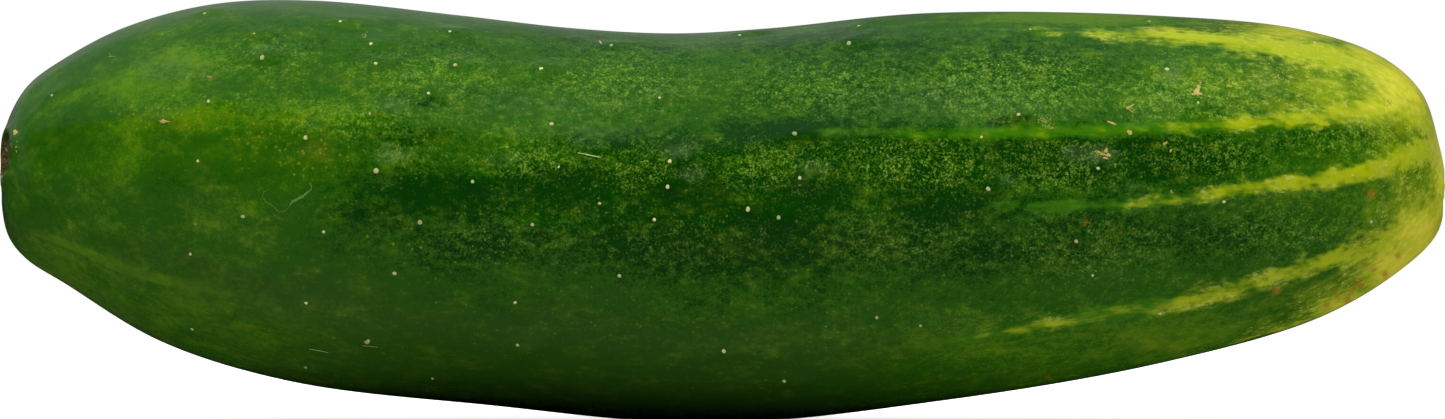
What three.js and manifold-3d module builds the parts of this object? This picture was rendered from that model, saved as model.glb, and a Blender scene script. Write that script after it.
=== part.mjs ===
// A slicing cucumber, picked whole and lying on its belly: one solid, as it grew.
// Millimetres, +Z up. +X runs from the stem end to the blossom end, and -Y is the front.
// The origin lies under the middle of the fruit, on the surface that it rests on.

import * as THREE from "three";
import { mergeVertices } from "three/addons/utils/BufferGeometryUtils.js";
import loadManifold from "manifold-3d";

// ---- Side outline, [along, up] in mm ----
const STEM_TIP = [-100, 34];
const BACK_LINE = [
  [-99.9, 38.6],
  [-98.9, 42.4],
  [-96.4, 46.4],
  [-91.2, 50.2],
  [-83.0, 54.4],
  [-70.8, 57.6],
  [-57.0, 58.1],
  [-37.0, 56.1],
  [-21.0, 54.3],
  [-7.0, 53.6],
  [6.0, 54.3],
  [28.0, 56.4],
  [60.0, 56.0],
  [80.0, 54.0],
  [91.0, 50.2],
  [96.5, 45.2],
  [98.8, 38.2],
];
const BLOSSOM_TIP = [100, 31];
const BELLY_LINE = [
  [98.4, 25.6],
  [93.0, 20.4],
  [82.0, 14.1],
  [60.0, 7.9],
  [30.0, 2.8],
  [-2.0, -0.3],
  [-33.0, 2.2],
  [-60.0, 5.4],
  [-78.0, 10.9],
  [-91.2, 18.8],
  [-96.6, 22.2],
  [-98.9, 25.0],
  [-99.9, 28.8],
];
const LENGTH = BLOSSOM_TIP[0] - STEM_TIP[0];

// ---- Section across the fruit ----
const BREADTH_TO_HEIGHT = 0.985; // side to side against back to belly
const SIDE_BOW = 1.4; // how far the middle bows out towards the front
const LOBES = 3; // one to each seed chamber
const LOBE_HEIGHT = 0.3;
const LOBE_TURN_DEG = 20;

// ---- Ribs: where each runs round the fruit, in degrees: 0 is the front, 90 the back line ----
const RIB_ANGLES_DEG = [-76, -41, -3, 21, 64, 104, 140, 176, 213, 249];
const RIB_HEIGHT = 0.34;
const RIB_SPREAD_DEG = 7.5;

// ---- Warts, each with the corky foot of a lost spine on it ----
const WART_HEIGHT = 0.45;
const WART_REACH_ALONG = 2.7;
const WART_REACH_ACROSS = 1.6;
const WART_AHEAD = 0.9; // a wart's crown lies this far towards the blossom end of its spine
const SPINE_FOOT_RADIUS = 0.36;
const SPINE_FOOT_HEIGHT = 0.2;
const SPINE_FOOT_ROOT = 0.5; // how deep a foot is sunk in the skin
const SPINE_FOOT_TAPER = 0.8; // its top against its bottom
const SPINE_FOOT_SIDES = 5;

// Spines on the front, [along, up, size], with 1 the usual size.
const FRONT_SPINES = [
  [-92.8, 44.8, 0.8], [-77.1, 41.3, 1.0], [-73.4, 23.0, 1.0], [-73.4, 12.6, 1.0],
  [-72.3, 35.8, 0.9], [-71.8, 56.1, 1.1], [-70.9, 44.0, 1.0], [-66.1, 28.2, 1.1],
  [-64.8, 53.3, 0.7], [-63.6, 50.0, 1.5], [-57.8, 7.3, 1.1], [-57.5, 39.0, 1.2],
  [-57.5, 16.3, 1.0], [-55.0, 26.1, 0.9], [-53.0, 55.0, 0.9], [-49.0, 11.1, 0.9],
  [-48.7, 51.9, 1.0], [-48.7, 42.3, 0.9], [-48.0, 49.2, 1.1], [-47.8, 34.5, 1.6],
  [-45.3, 20.4, 1.2], [-41.8, 27.4, 1.2], [-40.7, 45.1, 1.0], [-40.3, 5.8, 0.8],
  [-37.9, 53.6, 1.0], [-37.1, 49.0, 1.1], [-34.6, 33.0, 1.1], [-28.8, 16.4, 1.0],
  [-28.5, 10.5, 1.0], [-26.4, 27.1, 1.1], [-25.3, 48.5, 1.1], [-23.8, 40.9, 1.1],
  [-22.8, 35.0, 0.7], [-17.2, 30.0, 0.9], [-15.7, 51.7, 1.0], [-14.5, 20.1, 1.0],
  [-9.7, 27.8, 1.0], [-9.0, 44.5, 0.8], [-7.9, 32.3, 1.1], [-7.6, 35.8, 1.1],
  [-0.2, 9.7, 1.2], [2.0, 53.1, 1.0], [3.1, 29.2, 1.2], [7.3, 28.1, 1.1],
  [8.1, 5.5, 1.0], [9.5, 39.6, 1.3], [10.2, 33.5, 1.1], [17.0, 52.0, 1.4],
  [18.4, 54.4, 0.9], [20.8, 14.3, 1.0], [26.8, 13.2, 0.9], [35.1, 39.1, 0.9],
  [36.0, 32.0, 1.2], [40.2, 42.2, 1.1], [42.0, 53.9, 0.7], [48.1, 24.8, 1.1],
  [50.4, 20.1, 0.7], [51.1, 34.8, 1.0], [55.5, 39.6, 1.0], [58.5, 55.0, 0.9],
  [59.8, 14.8, 1.0], [60.7, 48.4, 1.1], [64.9, 43.8, 0.9], [68.4, 30.2, 1.0],
  [81.3, 52.1, 1.0], [86.2, 33.8, 0.7], [88.9, 27.4, 0.8], [90.9, 35.2, 0.7],
];

// The rest are spread evenly over the far side by a rule that draws no random numbers.
const FAR_SPINES = 63;
const FAR_SPINES_ALONG = [-90, 92];
const FAR_SPINES_AROUND_DEG = [100, 260];
const FAR_SPINE_SIZES = [0.8, 1.2];
const SPREAD_ALONG = 0.7548776662; // the steps that fill a rectangle most evenly
const SPREAD_AROUND = 0.5698402910;
const RESTING_REACH = 16; // no spine stands this near the middle of the resting spot
const OUTSIDE = 200; // how far out the lines start that find a spine's place on the skin

// ---- Scars at the two ends ----
const STEM_SCAR_CENTRE = [-100, -5, 36.2]; // it faces a little to the front
const STEM_SCAR_RADIUS = 4.1;
const STEM_SCAR_DEPTH = 1.4;
const STEM_SCAR_FLOOR = 0.45; // share of the radius that its flat floor takes
const STEM_SCAR_WAVES = [
  [3, 40, 0.05],
  [5, 0, 0.07],
]; // its ragged edge: waves round it, their turn in degrees and their height as a share of the radius
const STEM_RIM_HEIGHT = 0.22;
const STEM_RIM_SPREAD = 0.9;
const BLOSSOM_SCAR_RADIUS = 3.2;
const BLOSSOM_SCAR_DEPTH = 0.7;

// ---- Fineness of the faceted surface ----
const SIDES = 48;
const BODY_RINGS = 54;
const STEM_RINGS = 12; // closer together, for the stem scar
const BLOSSOM_RINGS = 4;
const STEM_RINGS_REACH = 0.045; // as a share of the way from tip to tip
const BLOSSOM_RINGS_REACH = 0.022;
const STEPS_PER_POINT = 100; // to measure the outline's length
const NORMAL_STEP = 1e-3; // share of the length, or radians, either side of a normal

const manifold = await loadManifold();
manifold.setup();

const radians = THREE.MathUtils.degToRad;
const bump = (distance, reach) => Math.exp(-((distance / reach) ** 2));
const fraction = (value) => value - Math.floor(value);

// ---- The smooth body ----
const outline = new THREE.CatmullRomCurve3(
  [STEM_TIP, ...BACK_LINE, BLOSSOM_TIP, ...BELLY_LINE].map(([x, z]) => new THREE.Vector3(x, 0, z)),
  true,
  "centripetal",
);
outline.arcLengthDivisions = STEPS_PER_POINT * outline.points.length;
const lengths = outline.getLengths();
// The share of the outline's length that its upper run takes, from the stem tip to the blossom tip.
const backShare = lengths[STEPS_PER_POINT * (BACK_LINE.length + 1)] / lengths.at(-1);

// The ring a share of the way from the stem tip to the blossom tip: it spans from the back to the belly.
function ringAt(share) {
  const back = outline.getPointAt(share * backShare);
  const belly = outline.getPointAt(1 - share * (1 - backShare));
  const centre = back.clone().add(belly).multiplyScalar(0.5);
  centre.y = -SIDE_BOW * Math.cos((Math.PI * centre.x) / LENGTH);
  return { centre, up: back.sub(belly).multiplyScalar(0.5) };
}

function smoothPoint({ centre, up }, angle) {
  const point = centre.clone().addScaledVector(up, Math.sin(angle));
  point.y -= Math.cos(angle) * up.length() * BREADTH_TO_HEIGHT;
  return point;
}

function smoothNormal(share, angle) {
  const [before, here, after] = [share - NORMAL_STEP, share, share + NORMAL_STEP].map(ringAt);
  const along = smoothPoint(after, angle).sub(smoothPoint(before, angle));
  const around = smoothPoint(here, angle + NORMAL_STEP).sub(smoothPoint(here, angle - NORMAL_STEP));
  return along.cross(around).normalize();
}

// ---- Relief, as a height in mm along the normal ----
function angleApart(a, b) {
  return Math.abs(THREE.MathUtils.euclideanModulo(a - b + 180, 360) - 180);
}

function lobesAndRibs(share, angleDeg) {
  const fullness = Math.sin(Math.PI * share) ** 0.5;
  const lobes = LOBE_HEIGHT * Math.cos(LOBES * radians(angleDeg - LOBE_TURN_DEG));
  const ribs = RIB_ANGLES_DEG.map((rib) => bump(angleApart(angleDeg, rib), RIB_SPREAD_DEG));
  return fullness * (lobes + RIB_HEIGHT * Math.max(...ribs));
}

function stemScar(point, angleDeg) {
  const distance = point.distanceTo(new THREE.Vector3(...STEM_SCAR_CENTRE));
  const waveAt = ([count, turn, height]) => height * Math.sin(radians(count * angleDeg + turn));
  const radius = STEM_SCAR_RADIUS * STEM_SCAR_WAVES.reduce((sum, wave) => sum + waveAt(wave), 1);
  const dish = STEM_SCAR_DEPTH * (1 - THREE.MathUtils.smoothstep(distance, STEM_SCAR_FLOOR * radius, radius));
  return STEM_RIM_HEIGHT * bump(distance - radius, STEM_RIM_SPREAD) - dish;
}

function blossomScar(point) {
  const distance = point.distanceTo(new THREE.Vector3(BLOSSOM_TIP[0], 0, BLOSSOM_TIP[1]));
  return -BLOSSOM_SCAR_DEPTH * bump(distance, BLOSSOM_SCAR_RADIUS);
}

function wartsAt(point, spines) {
  let height = 0;
  for (const { at, size } of spines) {
    const along = (point.x - at.x - WART_AHEAD) / WART_REACH_ALONG;
    const across = Math.hypot(point.y - at.y, point.z - at.z) / WART_REACH_ACROSS;
    height = Math.max(height, size * WART_HEIGHT * Math.exp(-(along ** 2) - across ** 2));
  }
  return height;
}

// Where along the fruit the rings stand, as shares: close together at both scars.
function ringShares() {
  const shares = [];
  const bodyReach = 1 - STEM_RINGS_REACH - BLOSSOM_RINGS_REACH;
  for (let i = 1; i <= STEM_RINGS; i++) shares.push((STEM_RINGS_REACH * i) / STEM_RINGS);
  for (let i = 1; i < BODY_RINGS; i++) shares.push(STEM_RINGS_REACH + (bodyReach * i) / BODY_RINGS);
  for (let i = BLOSSOM_RINGS; i >= 1; i--) shares.push(1 - (BLOSSOM_RINGS_REACH * i) / BLOSSOM_RINGS);
  return shares;
}

// The closed skin, from pole to pole, with its warts where the spines are.
function bodyGeometry(spines) {
  const positions = [];
  const place = (share, angleDeg, normal) => {
    const point = smoothPoint(ringAt(share), radians(angleDeg));
    const height =
      lobesAndRibs(share, angleDeg) + stemScar(point, angleDeg) + blossomScar(point) + wartsAt(point, spines);
    point.addScaledVector(normal, height);
    positions.push(point.x, point.y, Math.max(point.z, 0)); // flat where the belly rests
  };
  const shares = ringShares();
  place(0, 0, new THREE.Vector3(-1, 0, 0));
  for (const share of shares)
    for (let side = 0; side < SIDES; side++) {
      const angleDeg = (360 * side) / SIDES;
      place(share, angleDeg, smoothNormal(share, radians(angleDeg)));
    }
  place(1, 0, new THREE.Vector3(1, 0, 0));

  const last = positions.length / 3 - 1;
  const vertex = (ring, side) => 1 + ring * SIDES + (side % SIDES);
  const triangles = [];
  for (let side = 0; side < SIDES; side++) {
    triangles.push(0, vertex(0, side), vertex(0, side + 1));
    triangles.push(last, vertex(shares.length - 1, side + 1), vertex(shares.length - 1, side));
    for (let ring = 0; ring + 1 < shares.length; ring++) {
      const [a, b] = [vertex(ring, side), vertex(ring, side + 1)];
      const [c, d] = [vertex(ring + 1, side + 1), vertex(ring + 1, side)];
      triangles.push(a, c, b, a, d, c);
    }
  }
  return new THREE.BufferGeometry()
    .setAttribute("position", new THREE.Float32BufferAttribute(positions, 3))
    .setIndex(triangles);
}

// ---- Spines ----
// Where a straight line from far outside first meets the skin, and the skin's normal there.
function onSkin(skin, from, direction) {
  const [hit] = new THREE.Raycaster(from, direction).intersectObject(skin);
  return { at: hit.point, normal: hit.face.normal.clone() };
}

// Each spine's foot on the skin: those of the front, then those of the far side.
function spineFeet(skin) {
  const front = FRONT_SPINES.map(([x, z, size]) => ({
    ...onSkin(skin, new THREE.Vector3(x, -OUTSIDE, z), new THREE.Vector3(0, 1, 0)),
    size,
  }));
  const far = [];
  for (let i = 1; i <= FAR_SPINES; i++) {
    const x = THREE.MathUtils.lerp(...FAR_SPINES_ALONG, fraction(i * SPREAD_ALONG));
    const angle = radians(THREE.MathUtils.lerp(...FAR_SPINES_AROUND_DEG, fraction(i * SPREAD_AROUND)));
    const outwards = new THREE.Vector3(0, -Math.cos(angle), Math.sin(angle));
    const from = ringAt((x - STEM_TIP[0]) / LENGTH).centre.setX(x).addScaledVector(outwards, OUTSIDE);
    const foot = onSkin(skin, from, outwards.negate());
    const size = THREE.MathUtils.lerp(...FAR_SPINE_SIZES, fraction(i / SPREAD_ALONG));
    if (foot.at.length() > RESTING_REACH) far.push({ ...foot, size });
  }
  return [...front, ...far];
}

// A low stub, standing along the normal with its root sunk in the skin.
function spineFootGeometry({ at, normal, size }) {
  const radius = SPINE_FOOT_RADIUS * size;
  const height = SPINE_FOOT_HEIGHT + SPINE_FOOT_ROOT;
  return new THREE.CylinderGeometry(SPINE_FOOT_TAPER * radius, radius, height, SPINE_FOOT_SIDES)
    .translate(0, height / 2 - SPINE_FOOT_ROOT, 0)
    .applyQuaternion(new THREE.Quaternion().setFromUnitVectors(new THREE.Vector3(0, 1, 0), normal))
    .translate(at.x, at.y, at.z);
}

// ---- Solids ----
function toSolid(geometry) {
  const bare = geometry.clone();
  bare.deleteAttribute("normal");
  bare.deleteAttribute("uv");
  const merged = mergeVertices(bare);
  const vertProperties = merged.attributes.position.array;
  const triVerts = new Uint32Array(merged.index.array);
  return new manifold.Manifold(new manifold.Mesh({ numProp: 3, vertProperties, triVerts }));
}

function toGeometry(solid) {
  const { vertProperties, triVerts } = solid.getMesh();
  const geometry = new THREE.BufferGeometry()
    .setAttribute("position", new THREE.BufferAttribute(vertProperties, 3))
    .setIndex(new THREE.BufferAttribute(triVerts, 1));
  geometry.computeVertexNormals();
  return geometry;
}

// Moves the finished shape so that the origin is under the middle of its box, at its lowest point.
function standOnOrigin(geometry) {
  geometry.computeBoundingBox();
  const { min, max } = geometry.boundingBox;
  return geometry.translate(-(min.x + max.x) / 2, -(min.y + max.y) / 2, -min.z);
}

function buildCucumber() {
  const plain = new THREE.Mesh(bodyGeometry([]));
  const warty = new THREE.Mesh(bodyGeometry(spineFeet(plain)));
  const solid = spineFeet(warty)
    .map((foot) => toSolid(spineFootGeometry(foot)))
    .reduce((joined, foot) => joined.add(foot), toSolid(warty.geometry));
  return standOnOrigin(toGeometry(solid));
}

const skinMaterial = new THREE.MeshStandardMaterial({ color: 0x2f5a14, roughness: 0.42, metalness: 0 });
const cucumber = new THREE.Mesh(buildCucumber(), skinMaterial);
cucumber.name = "cucumber";

const part = new THREE.Group();
part.add(cucumber);

export default part;
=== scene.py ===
"""The looks of a slicing cucumber that lies on its belly: skin, stripes, flecks, spine feet and cork.

The form repeats the solid's: a closed side outline, round rings between back and belly, and a low relief.
Lengths in the tables are millimetres, as [along, up] in the fruit's side view, and angles are degrees round
the fruit: 0 is the front, 90 the back line. Meshes, materials and lights are in metres.
"""

import random
from math import cos, pi, radians, sin

import bpy
import numpy as np
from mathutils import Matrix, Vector
from mathutils.bvhtree import BVHTree
from numpy.linalg import norm


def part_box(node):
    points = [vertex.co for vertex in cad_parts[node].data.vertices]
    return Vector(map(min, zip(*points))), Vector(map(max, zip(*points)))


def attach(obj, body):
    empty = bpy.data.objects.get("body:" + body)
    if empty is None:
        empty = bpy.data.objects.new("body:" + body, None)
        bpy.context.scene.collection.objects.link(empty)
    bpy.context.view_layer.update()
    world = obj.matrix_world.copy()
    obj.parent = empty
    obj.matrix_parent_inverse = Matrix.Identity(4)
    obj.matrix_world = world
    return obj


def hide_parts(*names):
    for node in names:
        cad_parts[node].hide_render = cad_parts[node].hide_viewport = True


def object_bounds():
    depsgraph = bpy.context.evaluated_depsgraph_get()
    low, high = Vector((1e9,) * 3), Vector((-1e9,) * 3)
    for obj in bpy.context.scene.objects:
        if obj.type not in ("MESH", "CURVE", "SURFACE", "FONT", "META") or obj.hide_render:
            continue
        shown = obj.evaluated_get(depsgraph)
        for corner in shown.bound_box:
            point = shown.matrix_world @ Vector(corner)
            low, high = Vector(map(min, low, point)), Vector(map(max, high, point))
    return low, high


MM = 0.001  # metres

# ---- Form, as in the solid ----
STEM_TIP = (-100, 34)
BACK_LINE = [
    (-99.9, 38.6), (-98.9, 42.4), (-96.4, 46.4), (-91.2, 50.2), (-83, 54.4), (-70.8, 57.6), (-57, 58.1),
    (-37, 56.1), (-21, 54.3), (-7, 53.6), (6, 54.3), (28, 56.4), (60, 56), (80, 54), (91, 50.2),
    (96.5, 45.2), (98.8, 38.2),
]
BLOSSOM_TIP = (100, 31)
BELLY_LINE = [
    (98.4, 25.6), (93, 20.4), (82, 14.1), (60, 7.9), (30, 2.8), (-2, -0.3), (-33, 2.2), (-60, 5.4),
    (-78, 10.9), (-91.2, 18.8), (-96.6, 22.2), (-98.9, 25), (-99.9, 28.8),
]
LENGTH = BLOSSOM_TIP[0] - STEM_TIP[0]
BREADTH_TO_HEIGHT = 0.985
SIDE_BOW = 1.4
LOBES, LOBE_HEIGHT, LOBE_TURN = 3, 0.3, 20
RIB_ANGLES = [-76, -41, -3, 21, 64, 104, 140, 176, 213, 249]
RIB_HEIGHT, RIB_SPREAD = 0.34, 7.5
WART_HEIGHT, WART_REACH_ALONG, WART_REACH_ACROSS, WART_AHEAD = 0.45, 2.7, 1.6, 0.9
STEM_SCAR_CENTRE = (-100, -5, 36.2)
STEM_SCAR_MIDDLE = (-100, -3.2, 36.2)  # of its tan inside
STEM_SCAR_RADIUS, STEM_SCAR_DEPTH, STEM_SCAR_FLOOR = 4.1, 1.4, 0.45
STEM_SCAR_WAVES = [(3, 40, 0.05), (5, 0, 0.07)]
STEM_RIM_HEIGHT, STEM_RIM_SPREAD = 0.22, 0.9
BLOSSOM_SCAR_CENTRE = (BLOSSOM_TIP[0], 0, BLOSSOM_TIP[1])
BLOSSOM_SCAR_RADIUS, BLOSSOM_SCAR_DEPTH = 3.2, 0.7

# ---- Spines: [along, up, size] on the front, and an even rule for the far side ----
SPINE_FOOT_RADIUS, SPINE_FOOT_HEIGHT = 0.225, 0.06
SPINE_FOOT_RIM = (1.3, -0.05, 1)  # share of the radius, millimetres up, edge value
SPINE_FOOT_PROFILE = [(1.05, 0.25, 0.85), (0.82, 0.8, 0.25), (0.4, 1, 0)]  # shares of both, edge value
SPINE_FOOT_MIDDLE, SPINE_FOOT_SIDES = (0.8, 0.3), 12
FRONT_SPINES = [
    (-92.8, 44.8, 0.8), (-77.1, 41.3, 1), (-73.4, 23, 1), (-73.4, 12.6, 1), (-72.3, 35.8, 0.9),
    (-71.8, 56.1, 1.1), (-70.9, 44, 1), (-66.1, 28.2, 1.1), (-64.8, 53.3, 0.7), (-63.6, 50, 1.5),
    (-57.8, 7.3, 1.1), (-57.5, 39, 1.2), (-57.5, 16.3, 1), (-55, 26.1, 0.9), (-53, 55, 0.9),
    (-49, 11.1, 0.9), (-48.7, 51.9, 1), (-48.7, 42.3, 0.9), (-48, 49.2, 1.1), (-47.8, 34.5, 1.6),
    (-45.3, 20.4, 1.2), (-41.8, 27.4, 1.2), (-40.7, 45.1, 1), (-40.3, 5.8, 0.8), (-37.9, 53.6, 1),
    (-37.1, 49, 1.1), (-34.6, 33, 1.1), (-28.8, 16.4, 1), (-28.5, 10.5, 1), (-26.4, 27.1, 1.1),
    (-25.3, 48.5, 1.1), (-23.8, 40.9, 1.1), (-22.8, 35, 0.7), (-17.2, 30, 0.9), (-15.7, 51.7, 1),
    (-14.5, 20.1, 1), (-9.7, 27.8, 1), (-9, 44.5, 0.8), (-7.9, 32.3, 1.1), (-7.6, 35.8, 1.1),
    (-0.2, 9.7, 1.2), (2, 53.1, 1), (3.1, 29.2, 1.2), (7.3, 28.1, 1.1), (8.1, 5.5, 1), (9.5, 39.6, 1.3),
    (10.2, 33.5, 1.1), (17, 52, 1.4), (18.4, 54.4, 0.9), (20.8, 14.3, 1), (26.8, 13.2, 0.9),
    (35.1, 39.1, 0.9), (36, 32, 1.2), (40.2, 42.2, 1.1), (42, 53.9, 0.7), (48.1, 24.8, 1.1),
    (50.4, 20.1, 0.7), (51.1, 34.8, 1), (55.5, 39.6, 1), (58.5, 55, 0.9), (59.8, 14.8, 1),
    (60.7, 48.4, 1.1), (64.9, 43.8, 0.9), (68.4, 30.2, 1), (81.3, 52.1, 1), (86.2, 33.8, 0.7),
    (88.9, 27.4, 0.8), (90.9, 35.2, 0.7),
]
FAR_SPINES = 63
FAR_SPINES_ALONG = (-90, 92)
FAR_SPINES_AROUND = (100, 260)
FAR_SPINE_SIZES = (0.8, 1.2)
SPREAD_ALONG, SPREAD_AROUND = 0.7548776662, 0.5698402910
RESTING_REACH = 16  # no spine is closer to the middle of the resting spot
OUTSIDE = 200  # how far off a ray towards the skin starts

# ---- Fineness of the skin ----
SIDES, RINGS = 228, 430
RINGS_TO_ENDS = 0.35  # how much closer the rings are at the two ends
STEPS_PER_POINT = 60

# ---- Stripes: how broad, then [along, up, strength], or [along, angle, strength] on the far side ----
FRONT_STRIPES = [
    (1.95, [(24.7, 54, 0), (38.4, 53.4, 0.4), (46.7, 53, 0.5), (55, 53.4, 0.85), (64, 53, 1.1),
            (73, 51.8, 1.2), (81.3, 50.7, 1.2), (88, 49.5, 1.2), (92.4, 48, 1.3), (97.2, 42, 1.3)]),
    (1.05, [(2, 39.6, 0), (14, 39.8, 0.4), (24.6, 39.8, 0.65), (38.4, 39.5, 0.8), (47.7, 40, 1),
            (59.2, 40.3, 1), (73, 40.9, 1.1), (81.9, 41.6, 1.2), (91, 43.2, 1.35), (95.7, 42.2, 1.4)]),
    (0.9, [(30, 30, 0), (42, 30, 0.8), (54, 30.1, 1), (61.9, 30.7, 0.95), (67.5, 31.3, 0.9),
           (79.9, 33, 1.1), (87, 34.1, 1.15), (93.8, 36.2, 1.35), (97.2, 37.4, 1.4)]),
    (1.4, [(20, 9.6, 0), (33, 11.2, 0.8), (42.6, 12.8, 1.05), (50, 14.3, 1.35), (59.2, 15.8, 1.25),
           (66.1, 17, 1), (75.6, 19.6, 1), (81.9, 21.8, 1.1), (88, 23.6, 1.2), (97.2, 27.8, 1.4)]),
    (1.2, [(74, 12.8, 0), (81.9, 15.8, 0.7), (91.1, 20.4, 1.2), (95.7, 24.4, 1.3)]),
]
FAR_STRIPES = [
    (1, [(22, 104, 0), (40, 104, 0.5), (62, 104, 0.9), (80, 105, 1.1), (94, 106, 1.4)]),
    (1.2, [(5, 141, 0), (30, 140, 0.4), (56, 140, 0.8), (76, 142, 1.1), (94, 146, 1.4)]),
    (0.9, [(34, 176, 0), (48, 176, 0.5), (70, 177, 1), (94, 180, 1.4)]),
    (1.1, [(26, 213, 0), (50, 213, 0.6), (74, 212, 1), (94, 210, 1.4)]),
    (0.9, [(40, 249, 0), (60, 249, 0.6), (78, 248, 1), (94, 246, 1.4)]),
    (1.1, [(58, 284, 0), (74, 284, 0.7), (94, 285, 1.3)]),
]
STRIPE_BREADTH_AT = (0, 45, 75, 90, 98)
STRIPE_BREADTH = (0.9, 1.0, 1.3, 1.8, 2.4)
STRIPES_RIPEN = (42, 100)  # how far along they turn yellow
# ---- Soft light streaks at the stem end, told in the same way ----
FRONT_STREAKS = [
    (1, [(-97, 40, 0), (-93.1, 43, 0.6), (-89.6, 44.8, 0.8), (-84.5, 46.9, 0.8), (-77, 49.1, 0.5),
         (-70, 50.2, 0)]),
    (0.55, [(-98, 27.2, 0), (-92, 24.8, 1.5), (-83.4, 21.3, 1.8), (-74.1, 18.6, 1.5), (-62, 16.8, 0)]),
    (2.2, [(-96, 34, 0), (-91, 35, 0.4), (-82, 35.8, 0.5), (-74, 36.5, 0)]),
]
FAR_STREAKS = [
    (1.2, [(-97, 120, 0), (-88, 122, 0.8), (-78, 124, 0.7), (-66, 124, 0)]),
    (1, [(-97, 160, 0), (-90, 160, 0.6), (-80, 161, 0.8), (-64, 161, 0)]),
    (1.2, [(-97, 200, 0), (-86, 201, 0.8), (-74, 202, 0.7), (-60, 202, 0)]),
    (1, [(-97, 262, 0), (-86, 262, 0.8), (-70, 262, 0)]),
]
STREAK_BREADTH_AT = (-98, -60)
STREAK_BREADTH = (1.6, 2.0)

# ---- Soft tones on the front, some of them painted shade: [along, up, reach along, reach up, strength] ----
FRONT_FADE = (-7, 4)  # from this far behind the fruit's middle to this far before it, they fade in
BRIGHT = [
    (-80, 40, 8, 3.2, 0.55), (-71, 41.8, 9, 3.2, 0.75), (-62, 42, 9, 2.8, 0.7), (-53, 42.2, 8, 2, 0.5),
    (-42, 41.4, 9, 1.6, 0.2), (-32, 40.4, 6, 1.2, 0.3), (-70, 36, 12, 4, 0.35), (-80, 45.4, 10, 3.2, 0.9),
    (-74, 50, 7, 3, 0.8), (-86, 30, 6, 7, 0.45), (-66, 26, 9, 8, 0.35), (-62, 12, 18, 6, 0.75),
    (-86, 18, 13, 6, 0.75), (34, 10, 28, 5, 0.6), (62, 12, 20, 5, 0.65), (-30, 47, 14, 4, 0.2),
    (34, 18, 30, 4, 0.2), (-20, 26, 10, 2.5, 0.2), (60, 20, 14, 3, 0.25), (94, 34, 20, 24, 0.75),
    (64, 46, 20, 5, 0.45), (-92, 21.5, 8, 5, 0.8), (-75, 16, 10, 5, 0.8), (60, 17.5, 10, 3, 0.35),
    (50, 56, 18, 2, 1.2), (-25, 40.6, 9, 1.6, 0.35), (-96, 46, 5, 8, 0.3),
]
# Dark green tone, and painted shade below two warts: the blots at [-40.5, 43.6] and [38.6, 41.1]
DEEP_TONE_AND_SHADE = [
    (-37.7, 30.9, 12, 3.4, 1), (-47.4, 28.4, 9, 3, 0.6), (-22.5, 31.4, 12, 4.2, 1), (-6, 31, 12, 4.8, 1),
    (10.7, 31.4, 12, 5.4, 1), (27.3, 31, 12, 5.6, 0.9), (-11.4, 37.9, 14, 2, 0.6), (8, 37.4, 14, 2.2, 0.7),
    (24.6, 37.2, 12, 2.4, 0.8), (45.3, 36.4, 13, 3.4, 1), (62, 36.2, 13, 3, 0.85),
    (78, 37.6, 10, 2.4, 0.6), (49.5, 25.4, 14, 5, 0.5), (68, 25, 12, 4.5, 0.45), (-74, 33, 7, 1.6, 0.3),
    (-50, 24, 8, 2.5, 0.3), (0, 25, 36, 5, 0.85), (-30, 24, 16, 3, 0.6), (6, 45, 30, 3, 0.25),
    (9, 39.4, 9, 2, 1.3), (-42, 39.2, 7, 1.8, 0.7), (24, 38.6, 8, 1.8, 0.8), (30, 23, 34, 4, 0.6),
    (86, 39.4, 10, 1.5, 0.9), (-40.5, 43.6, 3.4, 0.7, 0.7), (70, 25, 22, 4, 0.6), (30, 50.5, 26, 4, 0.4),
    (38.6, 41.1, 3.2, 0.6, 1.2),
]
OLIVE = [
    (-66, 27.6, 5, 7, 0.2), (-60.5, 40.4, 5, 2.8, 0.5), (-56, 37.6, 3, 3.6, 0.65), (-75, 41, 5, 2, 0.45),
    (-76, 50.4, 6, 2.2, 0.3), (-66, 12.6, 10, 2.6, 0.3), (88.5, 17.6, 6, 3, 0.8), (60, 11, 12, 2.4, 0.5),
    (36, 10.5, 12, 2, 0.35), (-91, 20.5, 9, 6, 0.36), (-78, 24, 9, 6, 0.2), (54, 56, 12, 1.6, 0.6),
]
FLECKED = [
    (-10, 34.6, 12, 5, 0.9), (8, 35, 14, 5, 1), (26, 35.4, 14, 5, 1.2), (46, 35.6, 14, 5, 1.1),
    (66, 36.4, 14, 4, 1), (84, 38.6, 12, 3, 1.1), (-26, 36, 12, 5, 0.9), (-44, 37, 8, 5, 0.7),
    (40, 46, 18, 6, 1.2), (64, 45, 14, 6, 1.2), (84, 47, 12, 5, 1.2), (14, 46, 20, 6, 0.85),
    (-14, 46.5, 18, 6, 0.85), (-40, 47, 14, 6, 0.85), (-62, 50, 9, 4, 0.7), (-30, 25, 18, 5, 0.65),
    (-4, 25, 22, 6, 0.65), (24, 25, 22, 6, 0.7), (50, 24, 18, 6, 0.8), (76, 26, 14, 5, 0.85),
    (-56, 38.6, 6, 4, 0.5), (20, 15, 55, 8, 0.3), (-60, 44, 10, 4, 0.4), (-50, 41, 14, 4, 0.8),
    (-18, 30, 36, 5, 0.5), (24, 29.5, 40, 5, 0.5), (70, 29, 24, 5, 0.5),
]
RIPE = [  # yellow skin round the blossom end
    (94, 46.8, 7.5, 7.2, 1.5), (83, 49.4, 9, 3.2, 0.75), (82, 46.4, 6, 2.4, 0.8), (84, 44.5, 7, 2.6, 0.7),
    (100.5, 36, 3.8, 26, 1.7), (96, 24.5, 5.5, 7, 1.6), (93.5, 21, 6.5, 4.2, 1.8), (88, 15.6, 7.5, 3, 1.4),
    (80, 12.6, 8, 1.2, 0.7), (91, 43.3, 6.5, 1.8, 1.3), (80, 54, 12, 2.6, 1.2), (90, 51, 8, 4, 1.2),
    (74, 47, 12, 4, 0.35), (78, 43.4, 9, 1.6, 0.55), (94.5, 31, 4, 4, 0.8), (92.5, 36.2, 4, 2.2, 1),
    (91, 17.5, 7, 4, 0.7),
]
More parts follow.
